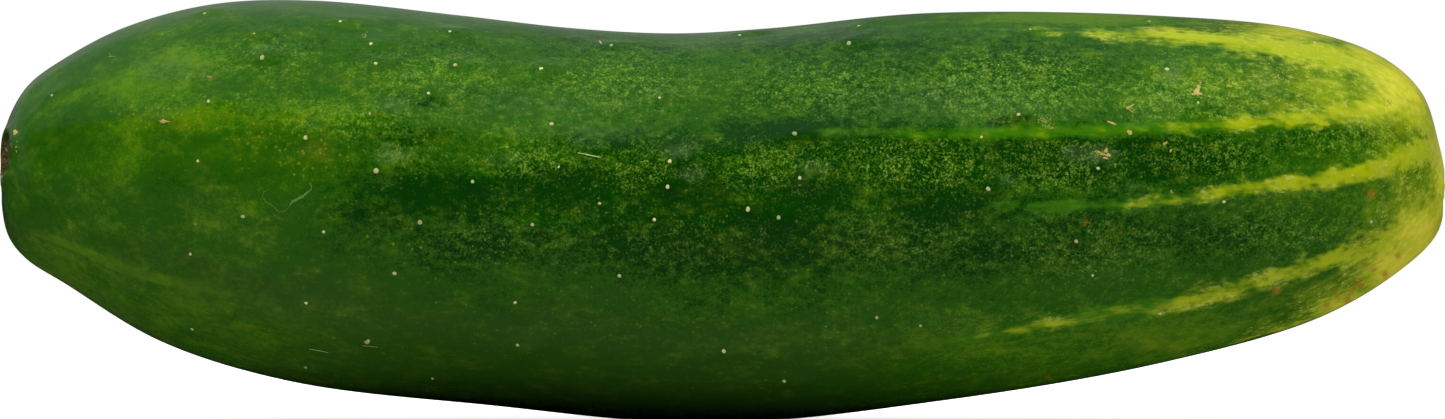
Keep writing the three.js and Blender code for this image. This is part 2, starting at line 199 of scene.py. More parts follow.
YELLOWER = [  # what is added to the stripes' ripeness
    (60, 53.4, 20, 3, 0.6), (84, 50.5, 10, 3.4, 0.3), (42, 12.6, 7, 3.4, 0.6), (66, 16.8, 7, 3.4, 0.35),
    (60, 31, 14, 2.4, 0.3),
]
YELLOW_FLECKS = [
    (-74, 42, 12, 3.6, 0.9), (-58, 39, 9, 6, 1), (-66, 48, 14, 4.6, 0.35), (-64, 28, 12, 8, 0.25),
    (-42, 24.5, 6, 4, 0.5),
]
# The same on the far side, as [along, angle, reach along, reach across, strength]
FAR_BRIGHT = [
    (-78, 112, 9, 5, 0.8), (-60, 150, 12, 5, 0.9), (-66, 196, 8, 7, 0.9), (-40, 122, 10, 4, 0.6),
    (-20, 172, 12, 4, 0.4), (18, 196, 16, 5, 0.35), (-78, 236, 9, 5, 0.5), (56, 228, 14, 5, 0.4),
]
FAR_DEEP = [
    (-34, 196, 14, 4, 0.9), (-10, 204, 14, 5, 0.9), (16, 158, 14, 5, 0.8), (30, 122, 12, 5, 0.6),
    (50, 160, 12, 4, 0.7), (60, 196, 12, 4, 0.6), (-52, 218, 9, 4, 0.6), (-84, 178, 7, 4, 0.4),
]
FAR_FLECKED = [
    (-20, 120, 30, 14, 0.7), (40, 118, 30, 12, 0.9), (80, 140, 16, 20, 0.9), (0, 168, 40, 7, 0.9),
    (50, 164, 26, 7, 1), (10, 196, 44, 5, 0.7), (-40, 182, 18, 8, 0.6), (60, 222, 26, 8, 0.5),
]
FAR_YELLOW_FLECKS = [(-66, 150, 16, 10, 0.8), (-70, 200, 12, 9, 0.6), (-60, 112, 14, 6, 0.6)]
FAR_RIPE = [
    (97, 112, 7, 9, 1.2), (84, 92, 12, 5, 0.9), (94, 160, 5, 8, 0.8), (101, 180, 3, 40, 1.5),
    (96, 215, 5, 9, 0.9), (92, 258, 6, 9, 0.8),
]
FAR_OLIVE = [(-58, 178, 6, 4, 0.8), (-72, 134, 5, 4, 0.6), (88, 236, 8, 4, 0.6), (-64, 222, 6, 4, 0.6)]

# ---- Painted shade and floor reflection on the belly: its share at the stem end, in the middle and at the blossom end ----
BELLY_SHADE_SHARE = (0.6, 1.0, 0.2)
BELLY_STARTS = (0.12, 0.75)  # as the sine of the angle below the front
BELLY_SHADE_GROWS, BELLY_SHADE_FADES = (-75, -45), (-5, 45)

# ---- Blurred rusty spots on the front: [along, up, reach, strength] ----
RUST_SPOTS = [
    (46.3, 24.6, 0.35, 0.8), (49.4, 27.5, 0.7, 0.6), (44.5, 6.2, 0.5, 0.6), (75.9, 17.8, 0.75, 0.9),
    (88.7, 31.3, 0.8, 0.8), (92.9, 22.6, 0.6, 0.9), (88.3, 21.6, 0.5, 0.8), (89.5, 20.7, 0.6, 0.8),
    (91.1, 20.1, 0.6, 0.9), (87.6, 18.6, 0.7, 0.9), (86.3, 17.8, 0.6, 0.8), (85.9, 16.7, 0.7, 0.9),
    (84.4, 17.2, 0.6, 0.8), (83, 15.9, 0.7, 0.8), (-54.9, 36.7, 0.4, 0.6), (-51.4, 34.4, 0.4, 0.6),
    (-55.4, 34.7, 0.3, 0.6), (-56.4, 42, 0.35, 0.5), (-71.8, 41.1, 0.35, 0.5), (-68.9, 40.8, 0.35, 0.5),
    (-63, 39.5, 0.35, 0.5), (-60.3, 39.9, 0.35, 0.4), (56, 26, 0.5, 0.4), (82, 36.4, 0.5, 0.4),
]
# ---- Painted sheen on the front, grey gloss on warts and the upper flank: [along, up, reach along, reach up, strength] ----
PAINTED_SHEEN = [
    (51.2, 36.6, 3, 1.5, 0.8), (47.8, 36.6, 2.6, 1.5, 0.6), (43.4, 41, 2.6, 0.7, 0.5),
    (61.5, 47.2, 2.2, 1.4, 0.8), (74.5, 46.2, 3.6, 2.8, 0.5), (55.5, 32, 2.4, 1, 0.5),
    (-76.5, 48.5, 8, 3, 0.5), (-96.6, 36, 1.6, 5, 0.45), (-45.6, 43.3, 3.2, 1.3, 0.6),
    (-19, 38.4, 3.6, 1.3, 0.5), (-45.6, 36.6, 3.2, 1.3, 0.7), (-6, 36.8, 3, 1.4, 0.6),
    (-4.6, 33.8, 3, 1.3, 0.55), (12, 34.8, 3.2, 1.4, 0.55), (38.6, 33.2, 2.8, 1.1, 0.5),
    (32, 44, 26, 4, 0.45), (-24, 43.6, 24, 3.2, 0.4), (60, 43.6, 9, 4, 0.4), (-20, 39.8, 13, 1.4, 0.5),
    (-30.5, 36, 3, 1.2, 0.5), (-44, 47.5, 2.6, 1, 0.4),
]
# ---- Cork on the front: [along, up, half length, half height, turn] ----
CRUST_THICKNESS, CRUST_SIDES = 0.1, 32
CRUST_PROFILE = [(0.86, 0.5, 0.7), (0.6, 0.9, 0.2), (0.3, 1, 0)]  # shares of both, edge value
CORK = [
    (64.8, 45.3, 0.5, 0.42, 0), (65, 45.9, 0.26, 0.42, -10), (64.4, 45, 0.36, 0.24, 12),
    (65.2, 45, 0.32, 0.22, -8), (53, 41, 0.7, 0.16, -22), (51.2, 37, 0.4, 0.14, -28),
    (51.8, 36.7, 0.5, 0.2, -18), (52.2, 37.2, 0.34, 0.26, 55), (52.5, 36.6, 0.3, 0.26, 0),
    (52.1, 36.2, 0.42, 0.15, -12), (55.25, 43.05, 0.34, 0.22, 25), (55.4, 39.8, 0.35, 0.28, 0),
    (66.5, 44.6, 0.25, 0.14, -30), (60.3, 38.2, 0.4, 0.2, 30), (61.1, 37.2, 0.3, 0.14, 50),
    (-70.9, 47.3, 0.3, 0.11, -10), (-77, 41.2, 0.6, 0.2, -4), (-97.9, 39.7, 0.4, 0.35, 20),
]
FLECKS = [
    (-77, 41.2, 0.7, 0.14, -4), (-70.7, 47.3, 0.42, 0.1, 0), (-17.2, 52.1, 0.3, 0.13, -40),
    (-49.2, 10.9, 0.4, 0.28, 10), (79.6, 49, 0.3, 0.1, 20), (44.8, 40.3, 0.3, 0.14, -10),
]
# ---- Pale scuffs, each a cloud of small flakes: [along, up, reach along, reach up, flakes] ----
FLAKE_THICKNESS, FLAKE_SIDES, FLAKE_SIZES = 0.03, 12, (0.05, 0.16)
SCUFFS = [
    (43.8, 41.4, 0.9, 0.5, 24), (44.4, 40.6, 1, 0.4, 24), (65.1, 46.6, 0.35, 0.5, 12),
    (51, 36.9, 0.7, 0.4, 18), (80, 41.7, 1.2, 0.3, 16), (61.4, 31.6, 0.5, 0.4, 8),
    (91.4, 43.6, 0.8, 0.6, 16), (67.5, 41.9, 0.9, 0.2, 16), (62, 44.6, 0.8, 0.4, 12),
    (89, 46.2, 0.9, 0.4, 12), (-97.6, 37.4, 0.5, 1, 6), (-84.6, 50.2, 0.5, 0.4, 6),
    (-49.5, 53, 0.4, 0.3, 8), (70, 45, 1.4, 0.8, 16), (76, 47.6, 1.6, 0.7, 16), (58.6, 43.8, 1.2, 0.6, 12),
]
# ---- Healed scratches: [breadth, tint, points], the tint from green skin at 0 to pale cork at 1 ----
STROKE_STEP, SCRATCH_HEIGHT, TAN_STROKE_HEIGHT = 0.15, 0.03, 0.06
SUNK = -0.02  # the height of the rims of crusts and strokes
SCRATCHES = [
    (0.24, 0.9, [(-20.2, 36.95), (-19.4, 36.8), (-18.5, 36.6), (-17, 36.3)]),
    (0.2, 0.1, [(-56.9, 32.9), (-56.6, 32.1), (-57, 31.6), (-57.4, 31.3)]),
    (0.6, 0.06, [(-57, 31.7), (-57.7, 31.1), (-58.6, 30.6), (-59.3, 30.2), (-59.7, 29.7)]),
    (0.22, 0, [(-59.4, 30.1), (-59.8, 29.4), (-60.4, 28.9), (-61.1, 28.8), (-61.9, 29.6), (-63, 30.3),
               (-63.4, 30.9), (-63.2, 31.6), (-62.4, 32)]),
    (0.2, 0.6, [(-57.3, 9.9), (-56, 9.7), (-54.6, 9.4)]),
    (0.16, 0.5, [(-49.9, 10.4), (-47.8, 10.2)]),
]
TAN_STROKES = [
    (0.34, 0.5, [(55, 43), (55.5, 43.25), (56.1, 43.6)]),
    (0.18, 0.3, [(55.3, 43), (55.7, 42.65), (56, 42.4)]),
]
SEEDS = {"spine_feet": 11, "cork_patches": 5, "brown_flecks": 8, "scuffs": 21}

# ---- Camera, lights and stage, in metres ----
CAMERA_ELEVATION, CAMERA_DISTANCE, CLIP_END = 0.4, 2.6, 100
SENSOR_WIDTH = 36.0  # millimetres, as the lens
# Lights: name, elevation, distance, size, radiance, whether gloss shows them, shift along the fruit
LIGHTS = [
    ("key", 66, 0.9, (1.9, 1.15), 1.75, False, 0),
    ("sheen_box", 92, 0.75, (2.4, 1.18), 0.28, True, 0),
    ("back_sheen", 149, 0.7, (1.2, 0.5), 0.2, True, -0.6),
]
FLOOR_REACH, FLOOR_ROUGHNESS = 30, 0.9
FLOOR_GLOSS, FLOOR_SEEN = 0.02, 0.9  # its colour to glossy rays and to the camera
FLOOR_BOUNCE, FLOOR_GLOW = 0.7, 0.84  # its light on the fruit and to the camera
CONTACT_SHADE_REACH = (0.062, 0.021)  # along and across the fruit
CONTACT_SHADE_AT = -0.014  # how far along the fruit its middle is
CONTACT_SHADE_ENDS = (0.45, 1.5)  # where it is full and where it ends, as multiples of its reach
WORLD_FRONT, WORLD_BEHIND = 0.006, 0.11  # in the fruit's gloss
WORLD_FADE = (0.0, 0.5)  # as the Y of a ray's direction
WORLD_DIFFUSE = 0.2

# ---- Colours of the skin ----
# also the colour of the painted shade below two warts
DEEP_GREEN = (0.0015, 0.044, 0.0002)
MID_GREEN = (0.02, 0.11, 0.0004)
BRIGHT_GREEN = (0.082, 0.222, 0.0004)
OLIVE_GREEN = (0.17, 0.23, 0.0006)
# painted shade and floor reflection on the belly, greyer and darker
BELLY_SHADE_GREEN = (0.026, 0.084, 0.005)
STRIPE_GREEN = (0.045, 0.19, 0.0006)
STRIPE_YELLOW = (0.42, 0.495, 0.0012)
STRIPE_EDGE = (0.58, 0.6, 0.11)
END_GREEN = (0.33, 0.45, 0.0012)
END_YELLOW = (0.76, 0.72, 0.04)
FLECK_GREEN = (0.105, 0.285, 0.004)
FLECK_PALE = (0.31, 0.5, 0.048)
FLECK_YELLOW = (0.31, 0.34, 0.002)
RUST_BROWN = (0.42, 0.16, 0.008)
# the grey of the painted sheen
PAINTED_SHEEN_GREY = (0.11, 0.185, 0.07)
SCAR_TAN = (0.15, 0.105, 0.008)
SCAR_BROWN = (0.048, 0.038, 0.004)
SCAR_OLIVE = (0.028, 0.034, 0.002)
SCAR_CREAM = (0.72, 0.64, 0.42)

# ---- Surfaces ----
SKIN_GLOSS, SKIN_BUMP = 0.35, 0.00003
SKIN_ROUGHNESS, DRIFT_ROUGHNESS, SCAR_ROUGHNESS = 0.2, 0.1, 0.3  # the last two are added to the first
CORK_GLOSS, CORK_ROUGHNESS, CORK_BUMP, CORK_GRAIN = 0.3, 0.75, 0.00005, 0.00018
CORKS = {  # dry tissue: its pale tone, other tone and edge tone, and where in the noise it is
    "spine_cork": ((0.7, 0.65, 0.32), (0.34, 0.38, 0.14), (0.22, 0.25, 0.05), 7.5),
    "cork": ((0.46, 0.345, 0.07), (0.6, 0.5, 0.15), (0.24, 0.155, 0.02), 3.5),
    "fleck_cork": ((0.44, 0.29, 0.05), (0.58, 0.47, 0.15), (0.18, 0.105, 0.012), 9.5),
    "scuff_cork": ((0.2, 0.29, 0.04), (0.38, 0.42, 0.09), (0.09, 0.18, 0.01), 12.5),
    "healed_skin": ((0.09, 0.19, 0.035), (0.66, 0.68, 0.34), (0.05, 0.14, 0.01), 15.5),
}


# ---- The fruit's form ----
def closed_curve(points):
    """Points along the closed centripetal Catmull-Rom curve through the given ones."""
    points = np.array(points, float)
    t = (np.arange(STEPS_PER_POINT) / STEPS_PER_POINT)[:, None]
    runs = []
    for i in range(len(points)):
        p0, p1, p2, p3 = (points[(i + k) % len(points)] for k in (-1, 0, 1, 2))
        d0, d1, d2 = (norm(b - a) ** 0.5 for a, b in ((p0, p1), (p1, p2), (p2, p3)))
        m1 = d1 * ((p1 - p0) / d0 - (p2 - p0) / (d0 + d1) + (p2 - p1) / d1)
        m2 = d1 * ((p2 - p1) / d1 - (p3 - p1) / (d1 + d2) + (p3 - p2) / d2)
        square, cube = 3 * (p2 - p1) - 2 * m1 - m2, 2 * (p1 - p2) + m1 + m2
        runs.append(p1 + t * m1 + t**2 * square + t**3 * cube)
    return np.vstack(runs + [points[:1]])


def ring_spans(shares):
    """The back and belly points of the ring at each share of the way from stem tip to blossom tip."""
    curve = closed_curve([STEM_TIP, *BACK_LINE, BLOSSOM_TIP, *BELLY_LINE])
    length = np.concatenate([[0], np.cumsum(norm(np.diff(curve, axis=0), axis=1))])
    tip = length[STEPS_PER_POINT * (len(BACK_LINE) + 1)]

    def point_at(distance):
        return np.stack([np.interp(distance, length, curve[:, k]) for k in (0, 1)], axis=-1)

    return point_at(shares * tip), point_at(length[-1] - shares * (length[-1] - tip))


def smooth_surface(shares, angles):
    """Grid of points [share, angle, xyz], with each ring's half height."""
    back, belly = ring_spans(shares)
    centre, up = (back + belly) / 2, (back - belly) / 2
    half = norm(up, axis=1)
    bow = -SIDE_BOW * np.cos(pi * centre[:, 0] / LENGTH)
    sine, cosine = np.sin(angles)[None, :], np.cos(angles)[None, :]
    x = centre[:, :1] + up[:, :1] * sine
    y = bow[:, None] - half[:, None] * BREADTH_TO_HEIGHT * cosine
    z = centre[:, 1:] + up[:, 1:] * sine
    return np.stack([x, y, z], axis=-1), half


def grid_normals(points):
    """Outward unit normals of a grid that closes round its second axis."""
    along = np.gradient(points, axis=0)
    around = np.roll(points, -1, axis=1) - np.roll(points, 1, axis=1)
    normals = np.cross(along, around)
    return normals / np.maximum(norm(normals, axis=-1, keepdims=True), 1e-9)


def bump(distance, reach):
    """1 at no distance, falling softly to 0.37 at the reach."""
    return np.exp(-((distance / reach) ** 2))


def smoothstep(value, low, high):
    """0 below low and 1 above high, with a smooth way between them."""
    t = np.clip((value - low) / (high - low), 0, 1)
    return t * t * (3 - 2 * t)


def angle_apart(a, b):
    return np.abs((a - b + 180) % 360 - 180)


def stem_scar_radius(degrees):
    """The radius of the scar's wavy rim at each angle round."""
    waves = [height * np.sin(np.radians(count * degrees + turn)) for count, turn, height in STEM_SCAR_WAVES]
    return STEM_SCAR_RADIUS * (1 + sum(waves))


def distance_from(place, points):
    return norm(points - np.array(place), axis=-1)


def relief(points, shares, degrees, feet):
    """Height of the lobes, ribs, scars and warts over the smooth surface."""
    fullness = np.sin(pi * shares)[:, None] ** 0.5
    lobes = LOBE_HEIGHT * np.cos(np.radians(LOBES * (degrees - LOBE_TURN)))
    ribs = np.max([bump(angle_apart(degrees, rib), RIB_SPREAD) for rib in RIB_ANGLES], axis=0)
    height = fullness * (lobes + RIB_HEIGHT * ribs)[None, :]
    from_stem, radius = distance_from(STEM_SCAR_CENTRE, points), stem_scar_radius(degrees)[None, :]
    height -= STEM_SCAR_DEPTH * (1 - smoothstep(from_stem, STEM_SCAR_FLOOR * radius, radius))
    height += STEM_RIM_HEIGHT * bump(from_stem - radius, STEM_RIM_SPREAD)
    height -= BLOSSOM_SCAR_DEPTH * bump(distance_from(BLOSSOM_SCAR_CENTRE, points), BLOSSOM_SCAR_RADIUS)
    return height + warts(points, feet)


def warts(points, feet):
    """Height of the warts, each a low mound with its middle a little ahead of its spine's foot."""
    height = np.zeros(points.shape[:2])
    for at, _, size in feet:
        ahead, aside, above = np.moveaxis(points - at, -1, 0)
        along = (ahead - WART_AHEAD) / WART_REACH_ALONG
        across = np.hypot(aside, above) / WART_REACH_ACROSS
        height = np.maximum(height, size * WART_HEIGHT * np.exp(-(along**2) - across**2))
    return height


class Form:
    """The whole skin as a grid, in millimetres, with a tree to find places on it."""

    def __init__(self, feet=()):
        even = np.linspace(0, 1, RINGS + 2)
        self.shares = even - RINGS_TO_ENDS * np.sin(2 * pi * even) / (2 * pi)
        self.degrees = np.arange(SIDES) * 360 / SIDES
        smooth, self.half = smooth_surface(self.shares, np.radians(self.degrees))
        normals = grid_normals(smooth)
        normals[0], normals[-1] = (-1, 0, 0), (1, 0, 0)
        points = smooth + normals * relief(smooth, self.shares, self.degrees, feet)[..., None]
        points[..., 2] = np.maximum(points[..., 2], 0)
        self.smooth, self.points = smooth, points
        ring = points[1:-1].reshape(-1, 3)
        self.vertices = np.vstack([points[0].mean(axis=0), ring, points[-1].mean(axis=0)])
        self.faces = self.make_faces()
        self.tree = BVHTree.FromPolygons(self.vertices.tolist(), self.faces)

    def make_faces(self):
        """Quads between the rings, and a fan of triangles at each tip."""
        last = len(self.vertices) - 1
        first = 1 + SIDES * np.arange(RINGS - 1)[:, None]
        side = np.arange(SIDES)[None, :]
        following = (side + 1) % SIDES
        after = first + SIDES
        quads = np.stack([first + side, after + side, after + following, first + following], axis=-1)
        faces = quads.reshape(-1, 4).tolist()
        end = 1 + SIDES * (RINGS - 1)
        for a in range(SIDES):
            b = (a + 1) % SIDES
            faces.append([0, 1 + a, 1 + b])
            faces.append([last, end + b, end + a])
        return faces

    def per_vertex(self, grid):
        """A grid of values as one value for each vertex of the mesh."""
        return np.concatenate([[grid[0].mean()], grid[1:-1].ravel(), [grid[-1].mean()]])

    def hit(self, start, direction):
        """Where a ray meets the skin, and the skin's normal there."""
        at, normal, _, _ = self.tree.ray_cast(Vector(start), Vector(direction))
        return np.array(at), np.array(normal)

    def on_side(self, x, z):
        """The place on the front at [x, z] of the side view."""
        return self.hit((x, -OUTSIDE, z), (0, 1, 0))

    def around(self, x, degrees):
        """The place on the skin at x along and an angle round."""
        middle = self.smooth[np.argmin(np.abs(self.smooth[:, :, 0].mean(axis=1) - x))].mean(axis=0)
        outwards = np.array([0, -cos(radians(degrees)), sin(radians(degrees))])
        return self.hit((x, middle[1], middle[2]) + OUTSIDE * outwards, -outwards)

    def across(self, angle):
        """How far round the fruit each place is from an angle."""
        return np.radians(angle_apart(self.degrees[None, :], angle)) * self.half[:, None]

    def share_and_angle(self, at):
        """The share of the length and the angle round of a place on the skin."""
        nearest = np.argmin(np.sum((self.points - at) ** 2, axis=-1))
        ring, side = np.unravel_index(nearest, self.points.shape[:2])
        return self.shares[ring], (self.degrees[side] + 180) % 360 - 180


def spine_feet(form):
    """Each spine's foot as [place, normal, size]: those of the front, then those of the far side."""
    feet = [(*form.on_side(x, z), size) for x, z, size in FRONT_SPINES]
    for i in range(1, FAR_SPINES + 1):
        x = np.interp(i * SPREAD_ALONG % 1, (0, 1), FAR_SPINES_ALONG)
        degrees = np.interp(i * SPREAD_AROUND % 1, (0, 1), FAR_SPINES_AROUND)
        size = np.interp(i / SPREAD_ALONG % 1, (0, 1), FAR_SPINE_SIZES)
        at, normal = form.around(x, degrees)
        if norm(at) > RESTING_REACH:
            feet.append((at, normal, size))
    return feet


# ---- The skin's fields ----
def stripe_path(form, stripe, is_far):
    """A stripe's places as [share, angle, strength], in order along the fruit."""
    path = []
    for along, place, strength in stripe:
        at, _ = form.around(along, place) if is_far else form.on_side(along, place)
        share, angle = form.share_and_angle(at)
        path.append((share, place if is_far else angle, strength))
    return sorted(path)


def path_field(form, front, far, breadth_at, breadths):
    """How close each place is to the middle of a stripe, weighted by the stripe's strength there."""
    breadth = np.interp(form.smooth[..., 0], breadth_at, breadths)
    field = np.zeros(breadth.shape)
    for broad, stripe, is_far in [(*row, False) for row in front] + [(*row, True) for row in far]:
        share, angle, strength = zip(*stripe_path(form, stripe, is_far))
        middle = np.interp(form.shares, share, angle)[:, None]
        reach = np.interp(form.shares, share, strength)[:, None]
        field = np.maximum(field, bump(form.across(middle), broad * breadth) * reach)
    return field


def blots(form, front, far=()):
    """The strongest of soft oval blots at each place."""
    x, y, z = np.moveaxis(form.smooth, -1, 0)
    field = np.zeros(x.shape)
    for along, up, reach_along, reach_up, strength in front:
        field = np.maximum(field, strength * bump(x - along, reach_along) * bump(z - up, reach_up))
    field *= smoothstep(-y, *FRONT_FADE)
    for along, angle, reach_along, reach_across, strength in far:
        blot = strength * bump(x - along, reach_along) * bump(form.across(angle), reach_across)
        field = np.maximum(field, blot)
    return field


def belly_shade_field(form):
    """Where the belly gets painted shade and floor reflection."""
    x = form.smooth[..., 0]
    downness = -np.sin(np.radians(form.degrees))[None, :]
    stem, middle, blossom = BELLY_SHADE_SHARE
    share = stem + (middle - stem) * smoothstep(x, *BELLY_SHADE_GROWS)
    share += (blossom - middle) * smoothstep(x, *BELLY_SHADE_FADES)
    return smoothstep(downness, *BELLY_STARTS) * share


def skin_fields(form, feet):
    """The values that the skin's material reads, by name."""
    tones = {
        "ripe": (RIPE, FAR_RIPE),
        "yellow_flecks": (YELLOW_FLECKS, FAR_YELLOW_FLECKS),
        "bright": (BRIGHT, FAR_BRIGHT),
        "deep_tone_and_shade": (DEEP_TONE_AND_SHADE, FAR_DEEP),
        "olive": (OLIVE, FAR_OLIVE),
        "flecked": (FLECKED, FAR_FLECKED),
        # painted sheen: grey gloss laid into the colour
        "painted_sheen": (PAINTED_SHEEN,),
        "rust": ([(x, z, reach, reach, strength) for x, z, reach, strength in RUST_SPOTS],),
    }
    fields = {name: blots(form, *sides) for name, sides in tones.items()}
    streaks = path_field(form, FRONT_STREAKS, FAR_STREAKS, STREAK_BREADTH_AT, STREAK_BREADTH)
    fields["bright"] = np.maximum(fields["bright"], streaks)
    from_stem = distance_from(STEM_SCAR_CENTRE, form.smooth)
    return fields | {
        "stripe": path_field(form, FRONT_STRIPES, FAR_STRIPES, STRIPE_BREADTH_AT, STRIPE_BREADTH),
        "ripeness": smoothstep(form.smooth[..., 0], *STRIPES_RIPEN) + blots(form, YELLOWER),
        # painted shade and floor reflection on the belly
        "belly": belly_shade_field(form),
        "wart": warts(form.smooth, feet) / WART_HEIGHT,
        "stem_scar": from_stem / stem_scar_radius(form.degrees)[None, :],
        "scar_middle": distance_from(STEM_SCAR_MIDDLE, form.smooth) / STEM_SCAR_RADIUS,
        "blossom_scar": distance_from(BLOSSOM_SCAR_CENTRE, form.smooth) / BLOSSOM_SCAR_RADIUS,
    }


# ---- Meshes ----
def add_object(name, data):
    """A new object, in the scene."""
    thing = bpy.data.objects.new(name, data)
    bpy.context.scene.collection.objects.link(thing)
    return thing


def mesh_object(name, vertices, faces, material, fields):
    """A smooth-shaded mesh object from points in millimetres, moved into the frame."""
    mesh = bpy.data.meshes.new(name)
    mesh.from_pydata(((np.array(vertices) + TO_FRAME) * MM).tolist(), [], faces)
    mesh.shade_smooth()
    for field, values in fields.items():
        mesh.attributes.new(field, "FLOAT", "POINT").data.foreach_set("value", np.array(values, np.float32))
    mesh.materials.append(material)
    return add_object(name, mesh)


def frame_offset(form):
    """How far the form is moved so that its box matches the solid's."""
    low, high = (np.array(corner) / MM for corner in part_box("cucumber"))
    own_low, own_high = form.vertices.min(axis=0), form.vertices.max(axis=0)
    offset = (low + high - own_low - own_high) / 2
    offset[2] = low[2] - own_low[2]
    return offset


def tangents(normal):
    """Two unit directions across a normal: roughly along the fruit, and round it."""
    along = np.array([1.0, 0, 0]) - normal * normal[0]
    if norm(along) < 0.2:
        along = np.array([0, 0, 1.0]) - normal * normal[2]
    along /= norm(along)
    return along, np.cross(normal, along)


class Pieces:
    """Gathers many small meshes into one piece, each vertex with an edge value and a tint."""

    def __init__(self, form):
        self.form = form
        self.vertices, self.faces, self.edge, self.tint = [], [], [], []

    def add_point(self, at, edge, tint):
        self.vertices.append(at)
        self.edge.append(edge)
        self.tint.append(tint)

    def add_mound(self, rings, sides, place, top, tint):
        """A closed mound: rings are [share, height, edge value] from the rim in, and place gives points."""
        start = len(self.vertices)
        for share, height, edge in rings:
            for side in range(sides):
                self.add_point(place(share, height, edge, 2 * pi * side / sides), edge, tint)
        self.add_point(*top, tint)
        for side in range(sides):
            following = (side + 1) % sides
            for ring in range(start, start + sides * (len(rings) - 1), sides):
                across = ring + sides
                self.faces.append([ring + side, ring + following, across + following, across + side])
            last = start + sides * (len(rings) - 1)
            self.faces.append([last + side, last + following, len(self.vertices) - 1])

    def add_crust(self, rng, x, z, half_length, half_height, turn, thickness, sides):
        """One ragged low crust on the skin, its outline torn by a few waves."""
        waves = [(count, rng.uniform(0, 6.3), rng.uniform(0.05, 0.6 / count)) for count in (2, 3, 5, 7, 11)]
        turn = radians(turn)

        def place(share, height, edge, angle):
            torn = sum(size * sin(count * angle + shift) for count, shift, size in waves)
            reach = share * (1 + torn * share)
            u, v = half_length * reach * cos(angle), half_height * reach * sin(angle)
            along, up = u * cos(turn) - v * sin(turn), u * sin(turn) + v * cos(turn)
            at, normal = self.form.on_side(x + along, z + up)
            return at + normal * (height + rng.uniform(-0.2, 0.2) * thickness * (1 - edge))

        rings = [(1, SUNK, 1)] + [(share, rise * thickness, edge) for share, rise, edge in CRUST_PROFILE]
        at, normal = self.form.on_side(x, z)
        self.add_mound(rings, sides, place, (at + normal * thickness, 0), rng.random())

    def add_stroke(self, breadth, tint, corners, height):
        """A thin low ridge along corners on the front that follows the skin and tapers at both ends."""
        xs, zs = zip(*corners)
        reach = np.concatenate([[0], np.cumsum(np.hypot(np.diff(xs), np.diff(zs)))])
        steps = np.linspace(0, reach[-1], max(8, int(reach[-1] / STROKE_STEP)))
        places = [self.form.on_side(np.interp(s, reach, xs), np.interp(s, reach, zs)) for s in steps]
        start = len(self.vertices)
        for i, (point, normal) in enumerate(places):
            ahead = places[min(i + 1, len(places) - 1)][0] - places[max(i - 1, 0)][0]
            across = np.cross(normal, ahead / norm(ahead))
            taper = sin(pi * (0.06 + 0.88 * i / (len(places) - 1))) ** 0.5
            wobble = 1 + 0.25 * sin(9 * steps[i]) * sin(3.7 * steps[i] + 1)
            for side, lift, edge in ((-1, SUNK, 1), (0, height, 0), (1, SUNK, 1)):
                aside = side * breadth / 2 * taper * wobble * across
                self.add_point(point + aside + lift * normal, edge, tint)
        for i in range(len(places) - 1):
            a, b = start + 3 * i, start + 3 * (i + 1)
            self.faces += [[a, b, b + 1, a + 1], [a + 1, b + 1, b + 2, a + 2]]

    def finish(self, name, material):
        fields = {"edge": self.edge, "tint": self.tint}
        return mesh_object(name, self.vertices, self.faces, material, fields)


def make_spine_feet(form, feet, material):
    """The pale corky foot that each lost spine left on its wart, each a little out of round."""
    rng = random.Random(SEEDS["spine_feet"])
    pieces = Pieces(form)
    for at, normal, size in feet:
        radius = SPINE_FOOT_RADIUS * size * rng.uniform(0.9, 1.1)
        stretch, turn = rng.uniform(0.0, 0.16), rng.uniform(0, pi)
        top = SPINE_FOOT_HEIGHT * size * rng.uniform(0.8, 1.1)
        along, across = tangents(normal)

        def place(share, height, _, angle):
            reach = share * radius * (1 + stretch * cos(2 * (angle - turn)) + 0.04 * cos(3 * angle + turn))
            return at + reach * (cos(angle) * along + sin(angle) * across) + height * normal

        rings = [SPINE_FOOT_RIM] + [(share, rise * top, edge) for share, rise, edge in SPINE_FOOT_PROFILE]
        rise, edge = SPINE_FOOT_MIDDLE
        middle = (at + rise * top * normal, edge)
        pieces.add_mound(rings, SPINE_FOOT_SIDES, place, middle, rng.random() ** 1.4)
    return pieces.finish("spine_feet", material)


def make_crusts(form, name, patches, strokes, material):
    """Ragged crusts and short ridges of cork, as one piece."""
    rng = random.Random(SEEDS[name])
    pieces = Pieces(form)
    for patch in patches:
        pieces.add_crust(rng, *patch, CRUST_THICKNESS, CRUST_SIDES)
    for stroke in strokes:
        pieces.add_stroke(*stroke, TAN_STROKE_HEIGHT)
    return pieces.finish(name, material)


def make_scuffs(form, material):
    """Clouds of thin pale flakes where the skin was rubbed."""
    rng = random.Random(SEEDS["scuffs"])
    pieces = Pieces(form)
    for x, z, reach_along, reach_up, flakes in SCUFFS:
        for _ in range(flakes):
            along, up = rng.gauss(0, 0.5) * reach_along, rng.gauss(0, 0.5) * reach_up
            size = rng.uniform(*FLAKE_SIZES)
            shape = (size, size * rng.uniform(0.4, 0.8), rng.uniform(0, 180))
            pieces.add_crust(rng, x + along, z + up, *shape, FLAKE_THICKNESS, FLAKE_SIDES)
    return pieces.finish("scuffs", material)


def make_scratches(form, material):
    """Thin healed scratches, as one piece."""
    pieces = Pieces(form)
    for stroke in SCRATCHES:
        pieces.add_stroke(*stroke, SCRATCH_HEIGHT)
    return pieces.finish("scratches", material)


